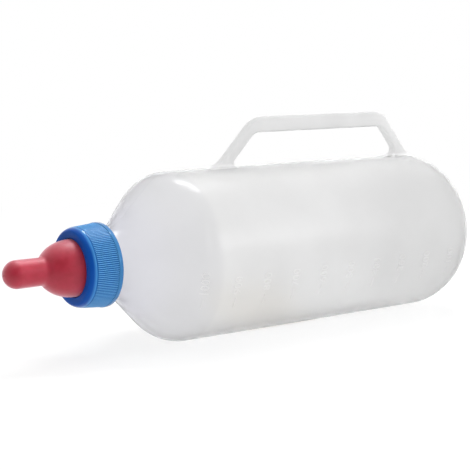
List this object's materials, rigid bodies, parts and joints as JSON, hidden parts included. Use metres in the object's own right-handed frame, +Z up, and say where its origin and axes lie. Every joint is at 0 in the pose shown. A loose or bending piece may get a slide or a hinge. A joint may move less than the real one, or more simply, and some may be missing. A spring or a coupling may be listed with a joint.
{
  "type": "lamb feeding bottle",
  "caption": "Translucent feeding bottle with a moulded strap handle, a screw ring and a hollow rubber teat for bottle-feeding lambs.",
  "frame": {"origin": "centre of the overall box on the surface that the bottle lies on", "axes": "+X along the bottle from the teat to the base, +Y across it away from the volume marks, +Z up through the handle"},
  "size_m": [0.2775, 0.0858, 0.1117],
  "materials": {
    "bottle_polyethylene": "natural blow-moulded polyethylene, milky and softly glossy",
    "cap_polypropylene": "moulded, semi-gloss blue",
    "teat_rubber": "soft satin red rubber",
    "label_paper": "blank buff paper sticker"
  },
  "bodies": {
    "bottle": {"bottle": "bottle_polyethylene", "label": "label_paper"},
    "teat": {"teat": "teat_rubber"},
    "cap": {"cap": "cap_polypropylene"}
  },
  "joints": [
    {"name": "teat_lift", "type": "slide", "parent": "bottle", "child": "teat", "axis": [-1, 0, 0], "range_m": [0, 0.0135]},
    {"name": "cap_unscrew", "type": "hinge", "parent": "teat", "child": "cap", "pos_m": [-0.10315, 0, 0.04355], "axis": [-1, 0, 0], "range_deg": [0, 1080]}
  ],
  "couplings": [
    {"joint": "teat_lift", "follows": "cap_unscrew", "m_per_rad": 0.00071619}
  ]
}
